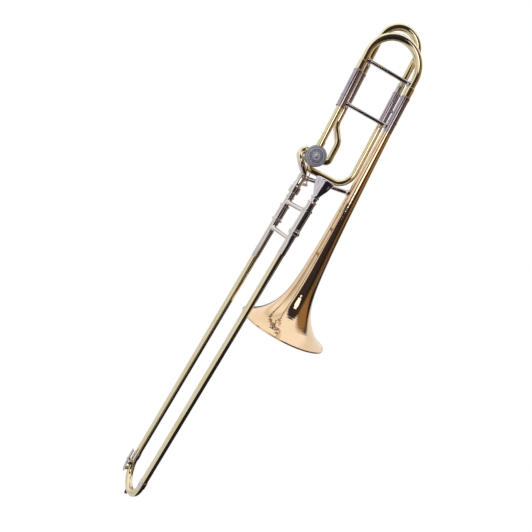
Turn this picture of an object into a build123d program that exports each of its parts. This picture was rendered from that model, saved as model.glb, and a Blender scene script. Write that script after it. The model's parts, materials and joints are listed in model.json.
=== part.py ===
"""Tenor trombone with an F attachment: every soldered, sliding and turning piece as its own solid.

Row frame: the origin is the joint between the bell section's receiver and the slide's taper.
+X runs forward along the slide, +Z points from the slide to the bell in the bell's plane and
+Y is the player's left. Two working frames keep the numbers plain:
  the bell frame is turned about Y, so that the bell runs a little away from the slide, and
  the slide frame is turned about X, so that both slide tubes lie in its XZ plane.
"""
import os
from math import cos, degrees, radians, sin, sqrt, tan

from build123d import *

# ---- driving dimensions (mm, degrees) ----
BELL_RADIUS = 101.6       # 8 inch bell
LEG_SPACING = 115.0       # between the axes of the two main tuning-slide legs
LEG_Z = 5.0               # main leg above the slide axis, in the bell frame
BELL_Z = LEG_Z + LEG_SPACING
DIVERGENCE = 3.7          # bell axis turned away from the slide
SLIDE_ROLL = 68.5         # slide's plane turned out of the bell's plane, mouthpiece side to the right
SLIDE_SPACING = 88.0      # between the axes of the two slide tubes
GAP = 0.3                 # running gap between bodies that don't touch
FIT = 0.08                # radial clearance of a shaft in its bearing

# bell section, X in the bell frame
RIM_X = 288.6
BELL_WALL = 0.8
SEAM_X = 78.0             # the spun flare is brazed to the long stem here
BEAD_R = 2.2
TAIL_X = -190.0           # the bell's tail and the valve's outlet tube end in the tuning-slide sleeves
TAIL_R = 9.6
SLEEVE_LENGTH = 80.0
SLEEVE_R = 9.6
LEG_R = 8.4
CROOK_R = 7.8
CROOK_X = -309.0          # centre of the main tuning slide's crook
FERRULE_LENGTH = 21.0
BRACE_R = 4.0             # the two cross braces of the tuning slide and its sleeves

# F attachment
F_Y = 20.0
F_LOW_Z = 18.0
F_HIGH_Z = 104.3
F_TUBE_R = 7.3
F_SLEEVE_X = -204.0
F_SLEEVE_LENGTH = 71.0
F_SLEEVE_R = 8.8
F_LEG_R = 7.4
F_CROOK_X = -352.0
F_ELBOW_X = -49.0         # the F tube's first bend, below the valve

# rotary valve, its axis along Y
VALVE_X = -77.0
VALVE_Z = LEG_Z
CASING_R = 20.0
ROTOR_R = 17.0
CASING_HALF = 15.0
CAP_R = 22.2
PORT_R = 6.6
TUBE_R = 7.2
TUBE_WALL = 0.6
GOOSENECK_PORT = (-81.4, 0, -17.4)
PORT_WAY = Vector(0.459, 0, -0.889)
LEVER_X = -12.0
LEVER_Z = 0.0
LEVER_ARM = 22.4
STOP_PIN_R = 9.0
LEVER_SWING = 32.8
LINK_Y = 30.0

# slide, X in the slide frame
RECEIVER_START = -32.0
RECEIVER_R = 8.7
TAPER_R = 7.7             # large end of the slide's taper
INNER_R = 7.0
STOCKING_R = 7.2
OUTER_BORE_R = 7.3
OUTER_R = 7.75
BARREL_R = 9.5
BARREL_BORE_R = 8.7
BARREL_END = 74.0
BRACE1_X = 33.0
BRACE2_X = 95.5
INNER_END = 704.0
BOW_X = 717.0
BOW_R = 7.9

BELL_FRAME = Location((0, 0, 0), (0, -DIVERGENCE, 0))
SLIDE_FRAME = Location((0, 0, 0), (SLIDE_ROLL, 0, 0))
ROW_FRAME = Location((0, 0, 0))
nodes = {}


def add(name, shape, frame=ROW_FRAME):
    """Place one sub-part in the row frame and keep it under its node name."""
    nodes[name] = frame * shape


def rod(start, end, radius):
    """Round bar between two points."""
    start, end = Vector(start), Vector(end)
    return Solid.make_cylinder(radius, (end - start).length, Plane(origin=start, z_dir=end - start))


def pipe(start, end, radius, bore):
    """Round tube between two points."""
    return rod(start, end, radius) - rod(start, end, bore)


def turned(profile, origin=(0, 0, 0), direction=(1, 0, 0)):
    """Solid of revolution: profile is a closed list of (distance along the axis, radius)."""
    face = make_face(Polyline(*[(radius, 0, along) for along, radius in profile], close=True))
    return Plane(origin=origin, z_dir=direction) * revolve(face, Axis.Z)


def bent_wire(points, radii):
    """Straight runs joined by tangent arcs; radii holds one bend radius per inner point."""
    points = [Vector(p) for p in points]
    edges = []
    start = points[0]
    for before, corner, after, radius in zip(points, points[1:], points[2:], radii):
        to_before = (before - corner).normalized()
        to_after = (after - corner).normalized()
        half = to_before.get_angle(to_after) / 2
        setback = radius / tan(radians(half))
        middle = (to_before + to_after).normalized()
        arc_in = corner + to_before * setback
        arc_out = corner + to_after * setback
        arc_mid = corner + middle * (radius / sin(radians(half)) - radius)
        if (arc_in - start).length > 1e-3:
            edges.append(Edge.make_line(start, arc_in))
        edges.append(Edge.make_three_point_arc(arc_in, arc_mid, arc_out))
        start = arc_out
    if (points[-1] - start).length > 1e-3:
        edges.append(Edge.make_line(start, points[-1]))
    return Wire(edges)


def bent_rod(points, radii, radius):
    """Solid round bar along straight runs and bends."""
    path = bent_wire(points, radii)
    return sweep(Plane(origin=path @ 0, z_dir=path % 0) * Circle(radius), path=path)


def bent_tube(points, radii, radius, wall=TUBE_WALL):
    """Hollow tube along straight runs and bends."""
    return bent_rod(points, radii, radius) - bent_rod(points, radii, radius - wall)


def half_loop(x, low, high, y, straight, radius, bore, direction=-1):
    """U-shaped crook: two short legs joined by a half circle around (x, y, middle); direction is its X sign."""
    bend = (high - low) / 2
    tip = x + direction * bend
    leg = x - direction * straight
    points = [(leg, y, low), (tip, y, low), (tip, y, high), (leg, y, high)]
    radii = [bend - 0.001] * 2
    loop = bent_rod(points, radii, radius)
    return loop - bent_rod(points, radii, bore) if bore else loop


def flanged_brace(start, end, start_r, end_r, radius, flange=5.5):
    """Brace between two tubes, with a flared foot on each; start_r and end_r are the tubes' radii."""
    start, end = Vector(start), Vector(end)
    along = (end - start).normalized()
    length = (end - start).length
    flare = 4.0
    profile = [(start_r - 1.5, 0), (start_r - 1.5, flange), (start_r + 1.2, flange), (start_r + 1.2 + flare, radius),
               (length - end_r - 1.2 - flare, radius), (length - end_r - 1.2, flange), (length - end_r + 1.5, flange),
               (length - end_r + 1.5, 0)]
    return turned(profile, start, along)


def ring_band(x0, x1, radius, bore, z=0.0, y=0.0):
    """Plain ring with small rounded shoulders around an X axis."""
    edge = min(0.8, (x1 - x0) / 4)
    profile = [(x0, bore), (x0, radius - edge), (x0 + edge, radius), (x1 - edge, radius), (x1, radius - edge), (x1, bore)]
    return turned(profile, (0, y, z))


# ---- bell ----
def make_bell():
    # wall of the flare from the rim back to the slender tail: (distance from the rim, radius)
    flare = [(0, BELL_RADIUS - 1.6), (7, 87), (18, 71), (34, 55.5), (58, 40.5), (92, 30), (140, 23.6), (210, 18.8),
             (300, 15.2), (400, 11.9), (RIM_X - TAIL_X, TAIL_R)]
    outer = Spline(*[(RIM_X - back, 0, radius) for back, radius in flare])
    inner = Spline(*[(RIM_X - back, 0, radius - BELL_WALL) for back, radius in flare])
    wall = make_face([outer, Line(outer @ 1, inner @ 1), inner, Line(inner @ 0, outer @ 0)])
    bell = Location((0, 0, BELL_Z)) * revolve(wall, Axis.X)
    rim = Plane(origin=(RIM_X, 0, BELL_Z), z_dir=(1, 0, 0))
    bead = Solid.make_torus(BELL_RADIUS - BEAD_R, BEAD_R, rim)
    hollow = Solid.make_torus(BELL_RADIUS - BEAD_R, BEAD_R - 0.6, rim)
    wire = Solid.make_torus(BELL_RADIUS - BEAD_R, BEAD_R - 0.65, rim)
    before, after = (rod((SEAM_X, 0, BELL_Z), (SEAM_X + way * 600, 0, BELL_Z), 150) for way in (-1, 1))
    add("bell_flare", bell + bead - hollow - before, BELL_FRAME)
    add("bell_stem", bell - after, BELL_FRAME)
    add("bell_rim_wire", wire, BELL_FRAME)


# ---- main tuning slide and its sleeves ----
def make_main_tuning():
    end = TAIL_X - SLEEVE_LENGTH
    for side, z in (("low", LEG_Z), ("bell", BELL_Z)):
        sleeve = pipe((TAIL_X, 0, z), (end, 0, z), SLEEVE_R, LEG_R + FIT)
        for x in (TAIL_X - 24, end + 2):
            sleeve += ring_band(x - 1.5, x + 1.5, SLEEVE_R + 0.7, LEG_R + FIT, z)
        add("tuning_sleeve_" + side, sleeve, BELL_FRAME)
        add("tuning_leg_" + side, pipe((TAIL_X - 14, 0, z), (end - GAP - FERRULE_LENGTH, 0, z), LEG_R, LEG_R - 0.8),
            BELL_FRAME)
        add("tuning_ferrule_" + side, ring_band(end - GAP - FERRULE_LENGTH, end - GAP, LEG_R + 0.9, LEG_R, z),
            BELL_FRAME)
    crook_end = end - GAP - FERRULE_LENGTH
    crook = half_loop(CROOK_X, LEG_Z, BELL_Z, 0, crook_end - CROOK_X, CROOK_R, CROOK_R - TUBE_WALL)
    add("tuning_crook", crook, BELL_FRAME)
    brace_x = crook_end - 6.2
    brace = flanged_brace((brace_x, 0, LEG_Z), (brace_x, 0, BELL_Z), CROOK_R, CROOK_R, BRACE_R, 6)
    for z in (LEG_Z, BELL_Z):
        brace -= rod((brace_x - 9, 0, z), (brace_x + 9, 0, z), CROOK_R)
    add("tuning_brace", brace, BELL_FRAME)


# ---- F tuning slide and its sleeves ----
def make_f_tuning():
    end = F_SLEEVE_X - F_SLEEVE_LENGTH
    crook_end = end - GAP - FERRULE_LENGTH
    for side, z in (("low", F_LOW_Z), ("high", F_HIGH_Z)):
        sleeve = pipe((F_SLEEVE_X, F_Y, z), (end, F_Y, z), F_SLEEVE_R, F_LEG_R + FIT)
        sleeve += ring_band(end, end + 3, F_SLEEVE_R + 0.7, F_LEG_R + FIT, z, F_Y)
        add("f_sleeve_" + side, sleeve, BELL_FRAME)
        leg = pipe((F_SLEEVE_X - 10, F_Y, z), (crook_end, F_Y, z), F_LEG_R, F_LEG_R - 0.8)
        add("f_leg_" + side, leg + ring_band(crook_end, end - GAP, F_LEG_R + 0.9, F_LEG_R - 0.1, z, F_Y), BELL_FRAME)
    crook = half_loop(F_CROOK_X, F_LOW_Z, F_HIGH_Z, F_Y, crook_end - F_CROOK_X, F_TUBE_R, F_TUBE_R - TUBE_WALL)
    add("f_crook", crook, BELL_FRAME)


# ---- tubes soldered between the valve, the sleeves and the receiver ----
def make_bell_tubes():
    port = CASING_R + 2.0
    outlet = pipe((VALVE_X - port, 0, LEG_Z), (TAIL_X, 0, LEG_Z), TUBE_R, TUBE_R - TUBE_WALL)
    add("valve_outlet_tube", outlet, BELL_FRAME)
    f_return = bent_tube([(VALVE_X, 0, VALVE_Z + port), (VALVE_X, 0, 36.5), (-125, 7, 38.5), (-160, F_Y, F_LOW_Z),
                          (F_SLEEVE_X, F_Y, F_LOW_Z)], [9.2, 33, 33], F_TUBE_R)
    add("f_tube_low", f_return, BELL_FRAME)
    coping = rod((VALVE_X, -30, VALVE_Z), (VALVE_X, 30, VALVE_Z), CASING_R - 1.4)
    add("f_tube_high", bent_tube(*f_out_route(), F_TUBE_R) - coping, BELL_FRAME)
    add("gooseneck", bent_tube(*gooseneck_route(), TUBE_R) - coping, BELL_FRAME)


def f_out_route():
    """The F tube turns up close to the valve, clear of the gooseneck, and runs over to the F slide."""
    corners = [(VALVE_X + CASING_R - 0.9, 0, VALVE_Z), (F_ELBOW_X, 0, VALVE_Z), (F_ELBOW_X - 2.5, F_Y, F_HIGH_Z),
               (F_SLEEVE_X, F_Y, F_HIGH_Z)]
    return corners, [8.6, 40]


def slide_axis_point(x):
    """A point of the slide's axis, in the bell frame."""
    return (BELL_FRAME.inverse() * Location((x, 0, 0))).position


def gooseneck_route():
    """The gooseneck leaves the casing at a slant, loops round its side, swings out to the right of the F tube
    and comes back onto the slide's axis."""
    port = Vector(*GOOSENECK_PORT)
    loop = [port - PORT_WAY * 3, port + PORT_WAY * 14.2, Vector(-54, -13.5, -18)]
    return loop + [slide_axis_point(RECEIVER_START - 5), slide_axis_point(RECEIVER_START + 6)], [13.5, 20, 9]


# ---- receiver and braces of the bell section ----
def make_receiver_and_braces():
    # the receiver's bore is a slow taper that holds the slide's taper
    start = RECEIVER_START
    socket = [(start, TUBE_R), (start, 8.6), (start + 0.8, 9.4), (start + 4, 9.4), (start + 4.8, RECEIVER_R),
              (-8, RECEIVER_R), (-7, 9.2), (0, 9.2), (0, TAPER_R + FIT), (-22.5, 7.1 + FIT),
              (-22.5, TUBE_R - TUBE_WALL), (start + 6, TUBE_R - TUBE_WALL), (start + 6, TUBE_R)]
    add("slide_receiver", turned(socket))

    lower_x = TAIL_X - 12
    lower = flanged_brace((lower_x, 0, LEG_Z), (lower_x, 0, BELL_Z), SLEEVE_R, SLEEVE_R, BRACE_R, 6)
    for z in (LEG_Z, BELL_Z):
        lower -= rod((lower_x - 9, 0, z), (lower_x + 9, 0, z), SLEEVE_R)
    add("lower_brace", lower, BELL_FRAME)

    # the thick brace runs from the receiver to the bell's side
    foot = slide_axis_point(-28)
    head = Vector(-45, -2, BELL_Z)
    bell_r = 15.1
    thick = flanged_brace(foot, head, RECEIVER_R, bell_r, 4.6, 6.6)
    thick -= rod((-60, 0, BELL_Z), (-20, 0, BELL_Z), bell_r)
    thick -= rod(slide_axis_point(-40), slide_axis_point(0), RECEIVER_R)
    thick -= rod(slide_axis_point(start - 1), slide_axis_point(start + 5), 9.45)    # over the end ring
    add("bottom_brace", thick, BELL_FRAME)

    # short pillars hold the F sleeves on the main sleeves
    for side, main_z, f_z in (("low", LEG_Z, F_LOW_Z), ("high", BELL_Z, F_HIGH_Z)):
        pillar = rod((-236, 0, main_z), (-236, F_Y, f_z), 2.6)
        pillar -= rod((-245, 0, main_z), (-225, 0, main_z), SLEEVE_R)
        pillar -= rod((-245, F_Y, f_z), (-225, F_Y, f_z), F_SLEEVE_R)
        add("f_pillar_" + side, pillar, BELL_FRAME)


# ---- rotary valve: everything turned about an axis along Y ----
def make_valve():
    axis = Vector(VALVE_X, 0, VALVE_Z)

    def barrel(y0, y1, radius):
        return rod(axis + Vector(0, y0, 0), axis + Vector(0, y1, 0), radius)

    casing = barrel(-CASING_HALF, CASING_HALF, CASING_R) - barrel(-CASING_HALF, 12, ROTOR_R + FIT)
    casing -= barrel(10, 20, 3.5 + FIT)
    reach = {(-1, 0): 34.5, (1, 0): 21.5, (0, -1): 20.5, (0, 1): 22.2}
    for (dx, dz), length in reach.items():
        way = Vector(dx, 0, dz)
        casing += rod(axis + way * 18.5, axis + way * length, 8.6)
        casing -= rod(axis + way * 21.9, axis + way * 40, F_TUBE_R)
        casing -= rod(axis + way * 10, axis + way * 23, PORT_R)
    port = Vector(*GOOSENECK_PORT)
    casing += rod(port - PORT_WAY * 5, port + PORT_WAY * 1.5, 8.3) - barrel(-30, 30, CASING_R - 1)
    casing -= bent_rod(*gooseneck_route(), TUBE_R) + bent_rod(*f_out_route(), F_TUBE_R)
    add("valve_casing", casing, BELL_FRAME)

    rotor = barrel(-11.7, 11.7, ROTOR_R) + barrel(-14.6, 25, 3.5)
    for corner in (-1, 1):
        centre = axis + Vector(corner * ROTOR_R, 0, corner * ROTOR_R)
        rotor -= Solid.make_torus(ROTOR_R, 5.6, Plane(origin=centre, z_dir=(0, 1, 0)))
    add("valve_rotor", rotor, BELL_FRAME)
    add("bearing_plate", barrel(-CASING_HALF + 0.1, -12, ROTOR_R) - barrel(-16, -11, 3.5 + FIT), BELL_FRAME)

    # cap: a cup that screws over the casing, with turned rings and a boss on its face
    cap = [(-26, 0), (-26, 3.2), (-25, 4.2), (-22.6, 4.2), (-22.6, 9), (-23.2, 9.6), (-23.2, 13.5), (-22.4, 14.2),
           (-22.4, 17.8), (-23.4, 18.6), (-23.4, 20.6), (-21.8, CAP_R), (-12.2, CAP_R), (-12.2, CASING_R + 0.05),
           (-15.1, CASING_R + 0.05), (-15.1, 18.4), (-19, 18.4), (-19, 0)]
    add("valve_cap", turned([(y, r) for y, r in cap], axis, (0, 1, 0)), BELL_FRAME)

    # stop arm on the spindle, swinging between two rubber bumpers on a plate
    pin = axis + Vector(-STOP_PIN_R, 0, STOP_PIN_R) * sqrt(0.5)
    finger = axis + Vector(15, 0, -15) * sqrt(0.5)
    arm = barrel(18.4, 24.6, 6.2)
    arm += link_plate(axis, pin, 7, 20, 23.5) + link_plate(axis, finger, 4, 19, 22)
    arm += rod(pin + Vector(0, 20, 0), pin + Vector(0, 28, 0), 1.9)
    add("stop_arm", arm - barrel(15, 30, 3.5), BELL_FRAME)
    plate = barrel(CASING_HALF, 17.6, 17.5) - barrel(14, 19, 6.8)
    add("stop_plate", plate, BELL_FRAME)
    offset = degrees((2 + 2.6 + GAP) / 13)
    for name, angle in (("stop_bumper_rest", 315 + offset), ("stop_bumper_pressed", 225 - offset)):
        at = axis + Vector(13 * cos(radians(angle)), 0, 13 * sin(radians(angle)))
        add(name, rod(at + Vector(0, 17.6, 0), at + Vector(0, 23, 0), 2.6), BELL_FRAME)


def link_plate(start, end, width, y0, y1):
    """Flat bar with round ends between two points of an XZ plane, from y0 to y1."""
    start, end = Vector(start), Vector(end)
    middle = (start + end) / 2
    along = end - start
    plane = Plane(origin=(middle.X, y0, middle.Z), x_dir=along, z_dir=(0, 1, 0))
    return extrude(plane * SlotCenterToCenter(along.length, width), y1 - y0)


# ---- thumb lever and linkage ----
def make_thumb_lever():
    pivot = Vector(LEVER_X, 0, LEVER_Z)

    def post(y0, y1, radius, at=pivot):
        return rod(at + Vector(0, y0, 0), at + Vector(0, y1, 0), radius)

    saddle = post(4, 24, 3.6) + post(23.9, 34.2, 2.2) + post(34.2, 35.6, 4.0)
    saddle -= rod(slide_axis_point(-30), slide_axis_point(0), RECEIVER_R)
    add("lever_saddle", saddle, BELL_FRAME)

    lean = radians(LEVER_SWING / 2)
    tip = pivot + Vector(-sin(lean), 0, cos(lean)) * LEVER_ARM
    knee = Vector(-29, 0, 17)
    paddle = Vector(-32.5, 0, 30)
    lever = post(24.3, 33.8, 4.8) + link_plate(pivot, tip, 6, 24.6, 27.6) + link_plate(pivot, knee, 6, 24.6, 27.6)
    lever += rod(tip + Vector(0, 26, 0), tip + Vector(0, 32.6, 0), 1.5)
    touch = Plane(origin=(paddle.X, 17.5, paddle.Z), x_dir=paddle - knee, z_dir=(0, 1, 0))
    lever += touch * extrude(SlotOverall(32, 4.4), 8.6, both=True)
    add("thumb_lever", lever - post(20, 36, 2.2 + FIT), BELL_FRAME)

    pin = Vector(VALVE_X, 0, VALVE_Z) + Vector(-STOP_PIN_R, 0, STOP_PIN_R) * sqrt(0.5)
    link = rod(tip + Vector(0, LINK_Y, 0), pin + Vector(0, LINK_Y, 0), 1.4)
    link += post(28.4, 31.6, 3.4, tip) + post(28.4, 31.6, 3.4, pin) + post(31.6, 33, 2.2, pin)
    add("linkage_rod", link - post(28, 33, 1.5 + FIT, tip), BELL_FRAME)

    coil = Helix(pitch=1.6, height=9.6, radius=4.6)
    wire = sweep(Plane(origin=coil @ 0, z_dir=coil % 0) * Circle(0.6), path=coil, is_frenet=True)
    place = Plane(origin=pivot + Vector(0, 12, 0), z_dir=(0, 1, 0))
    add("lever_spring", place * wire, BELL_FRAME)


# ---- inner slide, in the slide frame: left tube at Z 0, mouthpiece tube at Z SLIDE_SPACING ----
def make_inner_slide():
    taper = [(-22, 6.4), (-22, 7.1), (0.3, TAPER_R), (0.3, 8.6), (1.5, 8.6), (1.5, 7.9), (19, 7.9), (19.8, 9.4),
             (22.4, 9.4), (23.2, 7.9), (41, 7.9), (41, INNER_R), (12, INNER_R), (12, 6.4)]
    add("slide_taper", turned(taper), SLIDE_FRAME)
    nut = [(-4, 9.2 + FIT), (-4, 11), (-3.2, 11.7), (10.2, 11.7), (11, 11), (11, 7.9 + FIT), (1.8, 7.9 + FIT),
           (1.8, 9.2 + FIT)]
    add("lock_nut", turned(nut), SLIDE_FRAME)
    for side, z, start, top in (("left", 0, 12, 41), ("right", SLIDE_SPACING, 40, 27)):
        tube = [(start, 6.6), (start, INNER_R), (INNER_END - 60, INNER_R), (INNER_END - 58, STOCKING_R),
                (INNER_END, STOCKING_R), (INNER_END, 6.6)]
        add("inner_tube_" + side, turned(tube, (0, 0, z)), SLIDE_FRAME)
        inside = INNER_R if side == "left" else 8.65
        barrel = [(top, inside), (top, 10.9), (top + 4, 10.9), (top + 5, BARREL_R), (BARREL_END - 2, BARREL_R),
                  (BARREL_END - 1.5, 10), (BARREL_END, 10), (BARREL_END, BARREL_BORE_R), (top + 14.5, BARREL_BORE_R),
                  (top + 14.5, inside)]
        add("cork_barrel_" + side, turned(barrel, (0, 0, z)), SLIDE_FRAME)
    brace = flanged_brace((BRACE1_X, 0, 0), (BRACE1_X, 0, SLIDE_SPACING), 7.9, BARREL_R, 4.6, 6.6)
    brace -= rod((10, 0, 0), (60, 0, 0), 7.9) + rod((26, 0, SLIDE_SPACING), (60, 0, SLIDE_SPACING), BARREL_R)
    brace -= rod((26, 0, SLIDE_SPACING), (32.1, 0, SLIDE_SPACING), 10.9)
    add("inner_brace", brace, SLIDE_FRAME)

    receiver = [(9, 6.5), (9, 8.8), (10, 9.4), (12, 9.4), (13, 8.2), (27, 8.2), (27, 8.6), (41.4, 8.6), (41.4, INNER_R),
                (39, INNER_R), (39, 5.9)]
    add("mouthpiece_receiver", turned(receiver, (0, 0, SLIDE_SPACING)), SLIDE_FRAME)


def make_mouthpiece():
    # rim, cup and throat inside; outside the cup's bowl, an ornamental ring and the shank
    outer = [Line((-40, 15.5), (-39.2, 18.3)), ThreePointArc((-39.2, 18.3), (-37.4, 19.4), (-35.4, 19)),
             Spline((-35.4, 19), (-31, 17.4), (-22, 15.0), (-13, 10.9), (-6, 7.9), (-2, 7.2)),
             Polyline((-2, 7.2), (-1.2, 8.8), (1.4, 8.8), (2.4, 7), (9, 6.4), (38, 5.8), (38, 4.6), (6, 3.6))]
    inner = [Spline((6, 3.6), (-14, 4), (-22, 7.5), (-30, 11.4), (-39, 12.9)),
             ThreePointArc((-39, 12.9), (-40, 14), (-40, 15.5))]
    face = make_face(outer + inner)
    body = revolve(face, Axis.X)
    add("mouthpiece", Location((0, 0, SLIDE_SPACING)) * body, SLIDE_FRAME)


# ---- outer slide ----
def make_outer_slide():
    for side, z, sleeve_end in (("left", 0, 169.5), ("right", SLIDE_SPACING, 129.5)):
        add("outer_tube_" + side, pipe((64, 0, z), (713, 0, z), OUTER_R, OUTER_BORE_R), SLIDE_FRAME)
        sleeve = [(64, OUTER_R), (64, 8.3), (sleeve_end - 1, 8.3), (sleeve_end, 8.0), (sleeve_end, OUTER_R)]
        sleeve = turned(sleeve, (0, 0, z))
        if side == "left":
            sleeve += ring_band(74.6, 79.4, 11.6, OUTER_R, z)
        else:
            sleeve += ring_band(74.6, 76.4, 10.4, OUTER_R, z) + ring_band(83.8, 85.6, 9.6, OUTER_R, z)
        add("outer_sleeve_" + side, sleeve, SLIDE_FRAME)
        add("bow_ferrule_" + side, ring_band(703, 719, 9.0, BOW_R, z), SLIDE_FRAME)
    add("slide_lock_ring", ring_band(76.6, 83.6, 11.7, 8.3 + FIT, SLIDE_SPACING), SLIDE_FRAME)
    brace = flanged_brace((BRACE2_X, 0, 0), (BRACE2_X, 0, SLIDE_SPACING), 8.3, 8.3, 4.1, 6.6)
    for z in (0, SLIDE_SPACING):
        brace -= rod((BRACE2_X - 12, 0, z), (BRACE2_X + 12, 0, z), 8.3)
    add("hand_brace", brace, SLIDE_FRAME)

    bow = half_loop(BOW_X, 0, SLIDE_SPACING, 0, 4, BOW_R, BOW_R - TUBE_WALL, 1)
    solid_bow = half_loop(BOW_X, 0, SLIDE_SPACING, 0, 4, BOW_R, 0, 1)
    crown = BOW_X + SLIDE_SPACING / 2 + BOW_R
    knob = [(crown - 3, 0), (crown - 3, 5.2), (crown + 0.6, 4.8), (crown + 1, 4), (crown + 7.8, 4), (crown + 8.8, 3.3),
            (crown + 8.8, 0)]
    add("bow_bumper", turned(knob, (0, 0, SLIDE_SPACING / 2)) - solid_bow, SLIDE_FRAME)

    # water key under the bow: nozzle on the tube, lever on two posts, cork pad on the nozzle
    key_x, key_z = 728, 1.4
    nozzle = Vector(742, 0, 7.9)
    bow += rod(nozzle + Vector(0, -11, 0), nozzle + Vector(0, -7, 0), 4.2)
    bow -= rod(nozzle + Vector(0, -12, 0), nozzle, 2.2)
    add("bow", bow, SLIDE_FRAME)
    saddle = Box(8, 6, 16)
    saddle = Location((key_x, -9, key_z)) * saddle - Location((key_x, -13, key_z)) * Box(9, 7, 9.6)
    for z in (-6.4, 6.4):
        saddle += rod((key_x, -13, key_z + z - 1.6), (key_x, -13, key_z + z + 1.6), 3.2)
        saddle += Location((key_x, -11.5, key_z + z)) * Box(4, 4, 3.2)
    saddle += rod((key_x, -13, key_z - 8.6), (key_x, -13, key_z + 8.6), 1.2)
    add("water_key_saddle", saddle - solid_bow - rod((690, 0, 0), (719, 0, 0), 9.0), SLIDE_FRAME)
    hub = rod((key_x, -13, key_z - 4.5), (key_x, -13, key_z + 4.5), 2.8)
    arm = Plane(origin=(0, -15.2, 0), x_dir=(1, 0, 0), z_dir=(0, -1, 0))
    outline = [(696, -2.6), (726, -2.6), (733, 0), (748, 4), (748, 12), (736, 12), (732, 6), (726, 5.4), (696, 5.4)]
    key = hub + extrude(arm * make_face(Polyline(*outline, close=True)), 1.6)
    key += Location((key_x, -14.4, key_z)) * Box(5, 2.4, 6)
    key -= rod((key_x, -13, key_z - 9), (key_x, -13, key_z + 9), 1.2 + FIT)
    add("water_key", key, SLIDE_FRAME)
    add("water_key_cork", rod(nozzle + Vector(0, -15.2, 0), nozzle + Vector(0, -11.05, 0), 4.0), SLIDE_FRAME)


make_bell()
make_main_tuning()
make_f_tuning()
make_bell_tubes()
make_receiver_and_braces()
make_valve()
make_thumb_lever()
make_inner_slide()
make_mouthpiece()
make_outer_slide()

if __name__ == "__main__":
    os.makedirs("parts", exist_ok=True)
    for name, shape in nodes.items():
        export_step(shape, "parts/" + name + ".step")
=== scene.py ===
"""Looks of the tenor trombone: fine turned and bent meshes for the CAD's coarse ones, metals and studio."""
import json
import math

import bmesh
import bpy
from mathutils import Matrix, Vector


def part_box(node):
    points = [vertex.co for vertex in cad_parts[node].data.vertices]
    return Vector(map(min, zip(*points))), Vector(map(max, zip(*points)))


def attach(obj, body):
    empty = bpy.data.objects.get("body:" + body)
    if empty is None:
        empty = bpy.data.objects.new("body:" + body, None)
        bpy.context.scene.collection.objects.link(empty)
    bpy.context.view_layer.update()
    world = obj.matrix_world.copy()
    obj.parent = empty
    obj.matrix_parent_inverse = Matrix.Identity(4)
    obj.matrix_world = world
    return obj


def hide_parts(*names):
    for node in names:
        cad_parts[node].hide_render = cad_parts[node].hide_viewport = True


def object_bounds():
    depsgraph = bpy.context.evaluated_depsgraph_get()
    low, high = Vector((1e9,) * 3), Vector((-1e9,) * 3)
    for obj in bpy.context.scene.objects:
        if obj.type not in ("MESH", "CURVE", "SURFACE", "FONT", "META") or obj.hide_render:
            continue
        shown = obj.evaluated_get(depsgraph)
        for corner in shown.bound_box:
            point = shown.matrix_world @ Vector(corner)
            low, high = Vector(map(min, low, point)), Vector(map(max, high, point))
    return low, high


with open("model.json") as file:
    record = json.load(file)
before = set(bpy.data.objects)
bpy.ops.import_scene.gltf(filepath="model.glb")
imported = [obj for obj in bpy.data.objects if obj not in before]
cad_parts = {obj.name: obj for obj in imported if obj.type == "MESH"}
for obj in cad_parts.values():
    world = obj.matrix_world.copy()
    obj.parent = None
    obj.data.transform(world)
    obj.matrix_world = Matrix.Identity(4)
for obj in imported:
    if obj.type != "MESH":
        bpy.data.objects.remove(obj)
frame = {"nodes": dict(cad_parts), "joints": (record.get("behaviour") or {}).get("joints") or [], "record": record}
cad_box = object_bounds()
nodes = frame["nodes"]
mounts = {m["name"]: m for m in frame["record"]["mounts"]}
joints = {j["name"]: j for j in frame["joints"]}
body_of = {n: b for b, members in frame["record"]["behaviour"]["bodies"].items() for n in members}

# camera: where it stands, where it looks, which way is up in the picture, and its lens
CAMERA_AT = (0.0537, -0.9701, -0.1290)
VIEW_DIRECTION = (0.1235, 0.9790, 0.1623)
VIEW_UP = (-0.8510, 0.1886, -0.4901)
LENS_MM = 30.62
FLOOR_DROP = 0.30

# how many steps go round a turned piece: tubes, plates, the bell, and knurled pieces
ROUND_STEPS = 96
PLATE_STEPS = 128
BELL_STEPS = 192
KNURLED_STEPS = 384
CROOK_RING_STEPS = 64
SHARP_EDGE = math.radians(32.0)

# metres
CROOK_RADII = {"tuning_crook": 0.0078, "f_crook": 0.0073}
CROOK_WALL = 0.0006
FERRULE_LENGTH = 0.024    # the nickel end of the gooseneck
BOSS_RADIUS = 0.0045      # the boss in the valve cap's face, bright silver plate that also stands in for its highlight
KNURL_REACH = 0.0004      # knurling is cut where a piece is within this of its largest radius

# The room that polished metal reflects: light all round, darkest towards +X, with shadow lines low down.
# Each is a direction and how bright the room is from 0, facing away from it, to 1, facing along it.
ROOM_LIGHT = ((-1, 0, 0), ((0.0, 0.62), (0.35, 0.78), (0.45, 0.88), (0.60, 0.94), (0.80, 1.0)))
ROOM_LINES = ((0, 0, 1), ((0.0, 0.70), (0.03, 0.88), (0.06, 1.05), (0.14, 1.15), (0.20, 0.80), (0.26, 1.1)))
# Darker and brighter walls in it: the way each lies, the angle from there up to which it is solid, the angle
# at which it ends, and its colour. Later ones cover earlier ones.
WALLS = (((0.25, -0.35, 0.90), 66, 72, (0.020, 0.016, 0.019)),
         ((-0.42, -0.90, -0.12), 33, 38, (0.040, 0.033, 0.036)),
         ((0.10, -0.10, 1.00), 9, 13, (0.30, 0.27, 0.24)),
         ((-0.55, -0.36, 0.76), 20, 34, (0.34, 0.20, 0.09)),
         ((0.12, 0.98, 0.05), 13, 24, (0.24, 0.21, 0.21)),
         ((-0.45, 0.72, 0.52), 24, 34, (0.92, 0.90, 0.88)))
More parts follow.
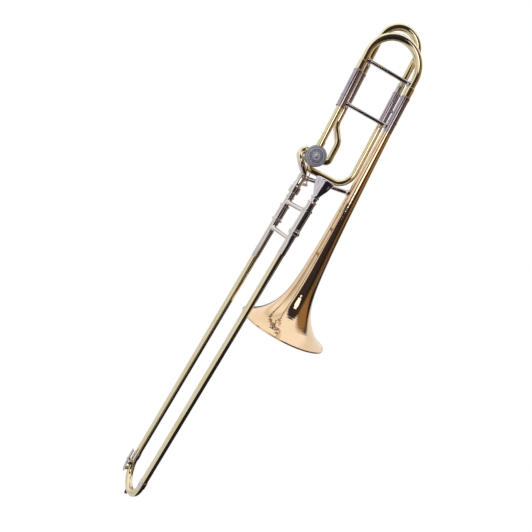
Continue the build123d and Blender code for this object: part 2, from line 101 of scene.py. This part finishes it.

# Painted rings of highlight and shade on the valve cap's face, standing in for its reflections: the radius in
# millimetres and the share of the metal's colour there.
CAP_PAINTED_RINGS = ((0.0, 0.9), (5.0, 0.95), (5.4, 0.70), (6.0, 1.0), (8.4, 1.0), (8.8, 0.60), (10.6, 0.55),
             (11.0, 0.75), (11.4, 0.50), (14.0, 0.50), (14.6, 0.95), (17.0, 0.90), (17.4, 0.65), (18.0, 0.85),
             (19.5, 0.85))


# ---------------------------------------------------------------- working frames
class Axes:
    """A turned frame: x along the tubes, y to the player's left, z up in its plane."""

    def __init__(self, x, z):
        self.x = Vector(x).normalized()
        self.y = Vector(z).cross(self.x).normalized()
        self.z = self.x.cross(self.y)

    def world(self, x, y, z):
        """The point that has these coordinates along the axes."""
        return self.x * x + self.y * y + self.z * z

    def local(self, point):
        """A point's coordinates along the axes."""
        return Vector((point.dot(self.x), point.dot(self.y), point.dot(self.z)))

    def span(self, node):
        """Lowest and highest corner of a CAD node along these axes."""
        points = [self.local(v.co) for v in nodes[node].data.vertices]
        low = Vector([min(p[i] for p in points) for i in range(3)])
        high = Vector([max(p[i] for p in points) for i in range(3)])
        return low, high


bell_axes = Axes(mounts["bell_mouth"]["axis"], (0, 0, 1))


# ---------------------------------------------------------------- meshes
def new_object(name, bm):
    """A smooth-shaded object from a bmesh, with its sharp edges kept sharp."""
    bmesh.ops.recalc_face_normals(bm, faces=bm.faces)
    mesh = bpy.data.meshes.new(name)
    bm.to_mesh(mesh)
    bm.free()
    mesh.shade_smooth()
    mesh.set_sharp_from_angle(angle=SHARP_EDGE)
    piece = bpy.data.objects.new(name, mesh)
    bpy.context.scene.collection.objects.link(piece)
    return piece


def seam_direction(verts, origin, axis):
    """The direction, seen along the axis, in which most of a turned solid's points lie."""
    side = axis.orthogonal().normalized()
    other = axis.cross(side)
    count = {}
    for v in verts:
        across = v.co - origin
        across -= axis * across.dot(axis)
        if across.length > 1e-5:
            key = round(math.degrees(math.atan2(across.dot(other), across.dot(side))) * 10)
            count[key] = count.get(key, 0) + 1
    angle = math.radians(max(count, key=lambda k: (count[k], k)) / 10)
    return side * math.cos(angle) + other * math.sin(angle)


def turned_like(node, origin, axis, steps=ROUND_STEPS, shape=None):
    """A fine mesh turned from the half section of a CAD node that is round about an axis."""
    origin, axis = Vector(origin), Vector(axis).normalized()
    source = bmesh.new()
    source.from_mesh(nodes[node].data)
    bmesh.ops.remove_doubles(source, verts=source.verts, dist=2e-6)
    side = seam_direction(source.verts, origin, axis)
    cut = bmesh.ops.bisect_plane(source, geom=source.verts[:] + source.edges[:] + source.faces[:],
                                 dist=5e-6, plane_co=origin, plane_no=axis.cross(side))
    half = bmesh.new()
    made = {}
    for edge in (g for g in cut["geom_cut"] if isinstance(g, bmesh.types.BMEdge)):
        ends = []
        for v in edge.verts:
            along = (v.co - origin).dot(axis)
            radius = (v.co - origin).dot(side)
            ends.append((along, radius))
        if min(r for _, r in ends) < -2e-5:
            continue
        corners = []
        for along, radius in ends:
            key = (round(along * 2e5), round(radius * 2e5))
            if key not in made:
                made[key] = half.verts.new(origin + axis * along + side * max(radius, 0.0))
            corners.append(made[key])
        if corners[0] != corners[1] and half.edges.get(corners) is None:
            half.edges.new(corners)
    source.free()
    bmesh.ops.spin(half, geom=half.verts[:] + half.edges[:], cent=origin, axis=axis, angle=math.tau,
                   steps=steps, use_merge=True)
    bmesh.ops.remove_doubles(half, verts=half.verts, dist=2e-6)
    if shape:
        shape(half, origin, axis)
    return new_object("fine_" + node, half)


def stand_for(piece, node, material):
    """Put a fine piece in the CAD node's place."""
    piece.data.materials.clear()
    piece.data.materials.append(material)
    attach(piece, body_of[node])
    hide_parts(node)


def knurl(depth, count, low, high):
    """Straight knurling cut into a turned piece's largest radius, between two shares of its length."""
    def shape(bm, origin, axis):
        along = [(v.co - origin).dot(axis) for v in bm.verts]
        radial = [(v.co - origin - axis * a).length for v, a in zip(bm.verts, along)]
        top, start, end = max(radial), min(along), max(along)
        side = axis.orthogonal().normalized()
        other = axis.cross(side)
        for v, a, r in zip(bm.verts, along, radial):
            share = (a - start) / (end - start)
            if r > top - KNURL_REACH and low <= share <= high:
                out = (v.co - origin - axis * a) / r
                turn = math.atan2(out.dot(other), out.dot(side))
                v.co -= out * depth * (0.5 + 0.5 * math.cos(count * turn))
    return shape


def round_tube(name, points, radius, wall, ring_steps):
    """Tube along a line of points, with open, squared ends and a real wall."""
    bm = bmesh.new()
    rings = []
    tangents = []
    for i, p in enumerate(points):
        before = points[max(i - 1, 0)]
        after = points[min(i + 1, len(points) - 1)]
        tangents.append((after - before).normalized())
    side = tangents[0].orthogonal().normalized()
    for p, tangent in zip(points, tangents):
        side = (side - tangent * side.dot(tangent)).normalized()
        other = tangent.cross(side)
        for r in (radius, radius - wall):
            ring = [bm.verts.new(p + (side * math.cos(a) + other * math.sin(a)) * r)
                    for a in (math.tau * k / ring_steps for k in range(ring_steps))]
            rings.append(ring)
    outer, inner = rings[0::2], rings[1::2]
    for skin in (outer, inner):
        for a, b in zip(skin, skin[1:]):
            for k in range(ring_steps):
                bm.faces.new((a[k], a[(k + 1) % ring_steps], b[(k + 1) % ring_steps], b[k]))
    for a, b in ((outer[0], inner[0]), (outer[-1], inner[-1])):
        for k in range(ring_steps):
            bm.faces.new((a[k], a[(k + 1) % ring_steps], b[(k + 1) % ring_steps], b[k]))
    return new_object(name, bm)


def slotted_screw(name, at, way, radius, height):
    """Domed screw head with a driver slot; its foot is at a point and its head faces a way."""
    profile = [(0, 0), (1, 0), (1, 0.45), (0.86, 0.8), (0.55, 1), (0, 1.05)]
    bm = bmesh.new()
    verts = [bm.verts.new((r * radius, 0, h * height)) for r, h in profile]
    edges = [bm.edges.new(pair) for pair in zip(verts, verts[1:])]
    bmesh.ops.spin(bm, geom=verts + edges, cent=(0, 0, 0), axis=(0, 0, 1), angle=math.tau, steps=40,
                   use_merge=True)
    bmesh.ops.remove_doubles(bm, verts=bm.verts, dist=1e-6)
    head = new_object(name, bm)
    block = bmesh.new()
    bmesh.ops.create_cube(block, size=1)
    bmesh.ops.scale(block, vec=(3 * radius, 0.26 * radius, 0.9 * height), verts=block.verts)
    bmesh.ops.translate(block, vec=(0, 0, height), verts=block.verts)
    cutter = new_object(name + "_slot", block)
    cut = head.modifiers.new("slot", "BOOLEAN")
    cut.object = cutter
    cut.operation = "DIFFERENCE"
    head.data = bpy.data.meshes.new_from_object(head.evaluated_get(bpy.context.evaluated_depsgraph_get()))
    head.modifiers.clear()
    bpy.data.objects.remove(cutter)
    turn = Vector(way).to_track_quat("Z", "X").to_matrix().to_4x4()
    head.data.transform(Matrix.Translation(at) @ turn)
    return head


def end_on_axis(node, at, way, reach):
    """Where a CAD node ends along a way, going by its points within reach of the axis."""
    at, way = Vector(at), Vector(way).normalized()
    along = [(v.co - at).dot(way) for v in nodes[node].data.vertices
             if ((v.co - at) - way * (v.co - at).dot(way)).length < reach]
    return at + way * max(along)


def loop_points(axes, node, radius, steps=64):
    """Centre line of a U-shaped crook that opens forwards, from its CAD node's extents."""
    low, high = axes.span(node)
    y = (low.y + high.y) / 2
    z0, z1 = low.z + radius, high.z - radius
    bend = (z1 - z0) / 2
    centre = low.x + radius + bend
    arc = [axes.world(centre - bend * math.sin(a), y, (z0 + z1) / 2 - bend * math.cos(a))
           for a in (math.pi * k / steps for k in range(steps + 1))]
    return [axes.world(high.x, y, z0)] + arc + [axes.world(high.x, y, z1)]


# ---------------------------------------------------------------- materials
slot_of = {s["node"]: s["material_slot"] for s in frame["record"]["subparts"]}


def noise(tree, scale, detail=4.0, roughness=0.55, stretch=None):
    """Noise in the object's own coordinates."""
    coord = tree.nodes.new("ShaderNodeTexCoord")
    out = coord.outputs["Object"]
    if stretch:
        mapping = tree.nodes.new("ShaderNodeMapping")
        mapping.inputs["Scale"].default_value = stretch
        tree.links.new(out, mapping.inputs["Vector"])
        out = mapping.outputs["Vector"]
    tex = tree.nodes.new("ShaderNodeTexNoise")
    tex.inputs["Scale"].default_value = scale
    tex.inputs["Detail"].default_value = detail
    tex.inputs["Roughness"].default_value = roughness
    tree.links.new(out, tex.inputs["Vector"])
    return tex.outputs["Fac"]


def ramp(tree, value, stops):
    """Colour ramp; a stop's colour has three parts, or one for a grey."""
    node = tree.nodes.new("ShaderNodeValToRGB")
    elements = node.color_ramp.elements
    while len(elements) < len(stops):
        elements.new(0.5)
    for element, (at, colour) in zip(elements, stops):
        element.position = at
        element.color = (*colour, 1) if len(colour) == 3 else (colour[0],) * 3 + (1,)
    tree.links.new(value, node.inputs["Fac"])
    return node.outputs["Color"]


def polished(name, colour, tarnish, roughness, coat=0.0):
    """Polished metal: slow colour drift, faint smudges in the gloss and fine hand-buffed grain."""
    mat = bpy.data.materials.new(name)
    mat.use_nodes = True
    tree = mat.node_tree
    bsdf = tree.nodes["Principled BSDF"]
    bsdf.inputs["Metallic"].default_value = 1.0
    drift = ramp(tree, noise(tree, 14.0, 5.0), [(0.30, tarnish), (0.52, colour), (1.0, colour)])
    tree.links.new(drift, bsdf.inputs["Base Color"])
    smudge = ramp(tree, noise(tree, 60.0, 4.0, 0.55), [(0.35, (roughness * 0.8,)), (0.62, (roughness,)),
                                                       (0.80, (roughness * 1.5,))])
    tree.links.new(smudge, bsdf.inputs["Roughness"])
    bsdf.inputs["Coat Weight"].default_value = coat
    bsdf.inputs["Coat Roughness"].default_value = 0.04
    bump = tree.nodes.new("ShaderNodeBump")
    bump.inputs["Strength"].default_value = 0.02
    bump.inputs["Distance"].default_value = 0.0002
    tree.links.new(noise(tree, 900.0, 3.0, 0.6, (0.15, 1, 1)), bump.inputs["Height"])
    tree.links.new(bump.outputs["Normal"], bsdf.inputs["Normal"])
    return mat


def painted_rings(mat, centre, stops):
    """Painted rings of highlight and shade, standing in for reflections, on a face turned about the Y axis;
    each stop is a radius in millimetres and a share of the metal's colour."""
    tree = mat.node_tree
    base = tree.nodes["Principled BSDF"].inputs["Base Color"]
    coord = tree.nodes.new("ShaderNodeTexCoord")
    flat = tree.nodes.new("ShaderNodeVectorMath")
    flat.operation = "MULTIPLY_ADD"
    flat.inputs[1].default_value = (1, 0, 1)
    flat.inputs[2].default_value = (-centre.x, 0, -centre.z)
    tree.links.new(coord.outputs["Object"], flat.inputs[0])
    radius = tree.nodes.new("ShaderNodeVectorMath")
    radius.operation = "LENGTH"
    tree.links.new(flat.outputs["Vector"], radius.inputs[0])
    share = tree.nodes.new("ShaderNodeMath")
    share.operation = "MULTIPLY"
    share.inputs[1].default_value = 1000 / stops[-1][0]
    tree.links.new(radius.outputs["Value"], share.inputs[0])
    # painted highlight and shade: the ramp makes the face lighter and darker in rings by radius
    rings = ramp(tree, share.outputs["Value"], [(r / stops[-1][0], (level,)) for r, level in stops])
    mix = tree.nodes.new("ShaderNodeMix")
    mix.data_type = "RGBA"
    mix.blend_type = "MULTIPLY"
    mix.inputs["Factor"].default_value = 1.0
    tree.links.new(base.links[0].from_socket, mix.inputs["A"])
    tree.links.new(rings, mix.inputs["B"])
    tree.links.new(mix.outputs["Result"], base)
    return mat


def plated_beyond(mat, x, colour):
    """Beyond a place along X, the metal has another colour: a nickel ferrule on the end of a brass tube."""
    tree = mat.node_tree
    base = tree.nodes["Principled BSDF"].inputs["Base Color"]
    coord = tree.nodes.new("ShaderNodeTexCoord")
    parts = tree.nodes.new("ShaderNodeSeparateXYZ")
    tree.links.new(coord.outputs["Object"], parts.inputs["Vector"])
    beyond = tree.nodes.new("ShaderNodeMath")
    beyond.operation = "GREATER_THAN"
    beyond.inputs[1].default_value = x
    tree.links.new(parts.outputs["X"], beyond.inputs[0])
    mix = tree.nodes.new("ShaderNodeMix")
    mix.data_type = "RGBA"
    mix.inputs["B"].default_value = (*colour, 1)
    tree.links.new(beyond.outputs["Value"], mix.inputs["Factor"])
    tree.links.new(base.links[0].from_socket, mix.inputs["A"])
    tree.links.new(mix.outputs["Result"], base)
    return mat


def soft_matter(name, dark, light, roughness, scale):
    """Rubber and cork: speckled colour and a dry, pitted surface."""
    mat = bpy.data.materials.new(name)
    mat.use_nodes = True
    tree = mat.node_tree
    bsdf = tree.nodes["Principled BSDF"]
    tree.links.new(ramp(tree, noise(tree, scale), [(0.4, dark), (0.65, light)]), bsdf.inputs["Base Color"])
    bsdf.inputs["Roughness"].default_value = roughness
    bump = tree.nodes.new("ShaderNodeBump")
    bump.inputs["Strength"].default_value = 0.4
    bump.inputs["Distance"].default_value = 0.0004
    tree.links.new(noise(tree, scale * 2), bump.inputs["Height"])
    tree.links.new(bump.outputs["Normal"], bsdf.inputs["Normal"])
    return mat


BRASS = (0.85, 0.75, 0.52)
OLD_BRASS = (0.78, 0.66, 0.38)
NICKEL = (0.74, 0.685, 0.655)
# the sleeves of the two tuning slides get a darker, purple-tinted copy of the nickel: painted shade standing in
# for the dark reflections they show
SLEEVES_PAINTED_DARK = ("tuning_sleeve_low", "tuning_sleeve_bell", "f_sleeve_low", "f_sleeve_high")
materials = {
    "rose_brass": polished("rose_brass", (0.86, 0.64, 0.42), (0.78, 0.55, 0.33), 0.07, 0.3),
    "yellow_brass": polished("yellow_brass", BRASS, OLD_BRASS, 0.08, 0.3),
    "nickel_silver": polished("nickel_silver", NICKEL, (0.62, 0.56, 0.535), 0.11),
    # painted shade: a darker, purple-tinted copy of the nickel, used on the slide sleeves
    "painted_dark_nickel": polished("painted_dark_nickel", (0.50, 0.44, 0.47), (0.38, 0.32, 0.36), 0.16),
    "valve_metal": polished("valve_metal", (0.44, 0.46, 0.54), (0.36, 0.38, 0.46), 0.24),
    "silver_plate": polished("silver_plate", (0.78, 0.74, 0.78), (0.62, 0.57, 0.62), 0.08),
    "rubber": soft_matter("rubber", (0.012, 0.012, 0.012), (0.04, 0.04, 0.042), 0.6, 700.0),
    "cork": soft_matter("cork", (0.35, 0.20, 0.10), (0.62, 0.42, 0.25), 0.85, 900.0),
}
for node, obj in nodes.items():
    obj.data.materials.clear()
    obj.data.materials.append(materials[slot_of[node]])

ferrule_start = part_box("gooseneck")[1].x - FERRULE_LENGTH
ferruled = polished("ferruled_brass", BRASS, OLD_BRASS, 0.08, 0.3)
nodes["gooseneck"].data.materials[0] = plated_beyond(ferruled, ferrule_start, NICKEL)

# ---------------------------------------------------------------- fine turned pieces
X = Vector((1, 0, 0))
rim_at = Vector(mounts["bell_mouth"]["pos_m"])
valve_at = Vector(joints["valve_turn"]["pos_m"])
mouth_at = Vector(mounts["mouthpiece_rim"]["pos_m"])


def tube_axis(axes, node):
    """A point on the axis of a CAD node that lies along the axes' x."""
    low, high = axes.span(node)
    return axes.world(low.x, (low.y + high.y) / 2, (low.z + high.z) / 2)


turned = {node: (rim_at, bell_axes.x, BELL_STEPS) for node in ("bell_flare", "bell_stem", "bell_rim_wire")}
for node in ("tuning_sleeve_low", "tuning_sleeve_bell", "tuning_leg_low", "tuning_leg_bell",
             "tuning_ferrule_low", "tuning_ferrule_bell", "f_sleeve_low", "f_sleeve_high", "f_leg_low",
             "f_leg_high", "valve_outlet_tube"):
    turned[node] = (tube_axis(bell_axes, node), bell_axes.x, ROUND_STEPS)
for node in ("slide_receiver", "slide_taper", "lock_nut", "inner_tube_left", "cork_barrel_left",
             "outer_tube_left", "outer_sleeve_left", "bow_ferrule_left"):
    turned[node] = (Vector((0, 0, 0)), X, ROUND_STEPS)
for node in ("inner_tube_right", "cork_barrel_right", "outer_tube_right", "outer_sleeve_right",
             "bow_ferrule_right", "slide_lock_ring", "mouthpiece_receiver", "mouthpiece"):
    turned[node] = (mouth_at, X, ROUND_STEPS)
for node in ("valve_cap", "bearing_plate", "stop_plate"):
    turned[node] = (valve_at, Vector((0, 1, 0)), PLATE_STEPS)
shapes = {"lock_nut": knurl(0.0004, 48, 0.1, 0.9), "slide_lock_ring": knurl(0.0004, 48, 0.15, 0.85),
          "valve_cap": knurl(0.0003, 64, 0.6, 0.97)}
for node, (origin, axis, steps) in turned.items():
    piece = turned_like(node, origin, axis, KNURLED_STEPS if node in shapes else steps, shapes.get(node))
    # the slide sleeves take the darker nickel of painted shade
    stand_for(piece, node, materials["painted_dark_nickel" if node in SLEEVES_PAINTED_DARK else slot_of[node]])

# painted rings of highlight and shade on the valve cap's face stand in for its reflections; the boss in its middle
# gets the brighter silver plate, which also stands in for its highlight
cap = bpy.data.objects["fine_valve_cap"]
cap_metal = polished("cap_metal", (0.50, 0.50, 0.58), (0.40, 0.40, 0.47), 0.34)
cap.data.materials[0] = painted_rings(cap_metal, valve_at, CAP_PAINTED_RINGS)
cap.data.materials.append(materials["silver_plate"])
for face in cap.data.polygons:
    off = face.center - valve_at
    if math.hypot(off.x, off.z) < BOSS_RADIUS:
        face.material_index = 1

for node, radius in CROOK_RADII.items():
    centre_line = loop_points(bell_axes, node, radius)
    piece = round_tube("fine_" + node, centre_line, radius, CROOK_WALL, CROOK_RING_STEPS)
    stand_for(piece, node, materials[slot_of[node]])

# Slotted screws hold the stop arm and the hinge pins of the thumb lever and the water key, which has one at
# each end. Each has its node, its joint, which way along the joint's axis it faces, how far from that axis
# the node's points are looked at to find its foot, and its radius.
for name, node, joint, sign, reach, radius in (
        ("key_screw", "water_key_saddle", "water_key_press", 1, 0.0035, 0.0022),
        ("key_screw_far", "water_key_saddle", "water_key_press", -1, 0.0035, 0.0022),
        ("lever_screw", "lever_saddle", "thumb_press", 1, 0.0040, 0.0026),
        ("arm_screw", "stop_arm", "valve_turn", 1, 0.0065, 0.0032)):
    way = Vector(joints[joint]["axis"]) * sign
    at = end_on_axis(node, joints[joint]["pos_m"], way, reach)
    screw = slotted_screw(name, at, way, radius, radius * 0.5)
    screw.data.materials.append(materials["nickel_silver"])
    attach(screw, body_of[node])

# ---------------------------------------------------------------- studio
def add_camera():
    """Camera at CAMERA_AT, looking along VIEW_DIRECTION."""
    data = bpy.data.cameras.new("camera")
    data.lens = LENS_MM
    data.sensor_width = 36.0
    data.clip_end = 50.0
    camera = bpy.data.objects.new("camera", data)
    bpy.context.scene.collection.objects.link(camera)
    back = -Vector(VIEW_DIRECTION).normalized()
    right = Vector(VIEW_UP).cross(back).normalized()
    up = back.cross(right)
    turn = Matrix((right, up, back)).transposed()
    camera.matrix_world = Matrix.Translation(CAMERA_AT) @ turn.to_4x4()
    bpy.context.scene.camera = camera


def add_world():
    """Rays from the camera see plain white. All other rays, mirrored and soft light alike, see the room."""
    world = bpy.data.worlds.new("studio")
    bpy.context.scene.world = world
    world.use_nodes = True
    tree = world.node_tree
    tree.nodes.clear()
    coord = tree.nodes.new("ShaderNodeTexCoord")

    def facing(direction):
        """How far a ray points along a direction: 0 away from it, 1 straight along it."""
        dot = tree.nodes.new("ShaderNodeVectorMath")
        dot.operation = "DOT_PRODUCT"
        dot.inputs[1].default_value = Vector(direction).normalized()
        tree.links.new(coord.outputs["Generated"], dot.inputs[0])
        shift = tree.nodes.new("ShaderNodeMath")
        shift.operation = "MULTIPLY_ADD"
        shift.inputs[1].default_value = 0.5
        shift.inputs[2].default_value = 0.5
        tree.links.new(dot.outputs["Value"], shift.inputs[0])
        return shift.outputs["Value"]

    def blend(kind, factor, a, b):
        mix = tree.nodes.new("ShaderNodeMix")
        mix.data_type = "RGBA"
        mix.blend_type = kind
        for name, value in (("Factor", factor), ("A", a), ("B", b)):
            if isinstance(value, bpy.types.NodeSocket):
                tree.links.new(value, mix.inputs[name])
            else:
                mix.inputs[name].default_value = value
        return mix.outputs["Result"]

    def part(spec):
        direction, stops = spec
        return ramp(tree, facing(direction), [(at, (c,)) for at, c in stops])

    light = blend("MULTIPLY", 1.0, part(ROOM_LIGHT), part(ROOM_LINES))
    for direction, solid, end, colour in WALLS:
        edges = [0.5 + 0.5 * math.cos(math.radians(angle)) for angle in (end, solid)]
        cover = ramp(tree, facing(direction), [(edges[0], (0,)), (edges[1], (1,))])
        light = blend("MIX", cover, light, (*colour, 1))
    path = tree.nodes.new("ShaderNodeLightPath")
    gloss = tree.nodes.new("ShaderNodeBackground")
    tree.links.new(light, gloss.inputs["Color"])
    plain = tree.nodes.new("ShaderNodeBackground")
    plain.inputs["Color"].default_value = (1, 1, 1, 1)
    mix = tree.nodes.new("ShaderNodeMixShader")
    tree.links.new(path.outputs["Is Camera Ray"], mix.inputs["Fac"])
    tree.links.new(gloss.outputs["Background"], mix.inputs[1])
    tree.links.new(plain.outputs["Background"], mix.inputs[2])
    out = tree.nodes.new("ShaderNodeOutputWorld")
    tree.links.new(mix.outputs["Shader"], out.inputs["Surface"])


def add_floor():
    """Pale glowing floor; polished metal doesn't mirror it."""
    low, high = cad_box
    bm = bmesh.new()
    bmesh.ops.create_grid(bm, x_segments=1, y_segments=1, size=12.0)
    mesh = bpy.data.meshes.new("floor")
    bm.to_mesh(mesh)
    bm.free()
    floor = bpy.data.objects.new("floor", mesh)
    floor.location = ((low.x + high.x) / 2, 0, low.z - FLOOR_DROP)
    bpy.context.scene.collection.objects.link(floor)
    mat = bpy.data.materials.new("floor_paper")
    mat.use_nodes = True
    bsdf = mat.node_tree.nodes["Principled BSDF"]
    bsdf.inputs["Base Color"].default_value = (0.95, 0.95, 0.95, 1)
    bsdf.inputs["Roughness"].default_value = 0.9
    bsdf.inputs["Emission Color"].default_value = (1, 1, 1, 1)
    bsdf.inputs["Emission Strength"].default_value = 1.0
    mesh.materials.append(mat)
    floor.visible_glossy = False


def add_area(name, at, towards, size, power, mirrored):
    """Soft elliptical lamp; mirrored says whether polished metal shows it."""
    data = bpy.data.lights.new(name, "AREA")
    data.shape = "ELLIPSE"
    data.size, data.size_y = size
    data.energy = power
    light = bpy.data.objects.new(name, data)
    light.location = at
    light.rotation_euler = (Vector(towards) - Vector(at)).to_track_quat("-Z", "Y").to_euler()
    light.visible_glossy = mirrored
    bpy.context.scene.collection.objects.link(light)


bpy.context.scene.view_settings.view_transform = "Standard"
add_camera()
add_world()
add_floor()
add_area("lamp", (-0.42, -1.37, -0.08), (0.25, 0, 0.1), (0.50, 0.70), 1.8, True)
add_area("soft", (0.6, -0.7, -1.3), (0.2, 0, 0.05), (1.4, 1.0), 5, False)
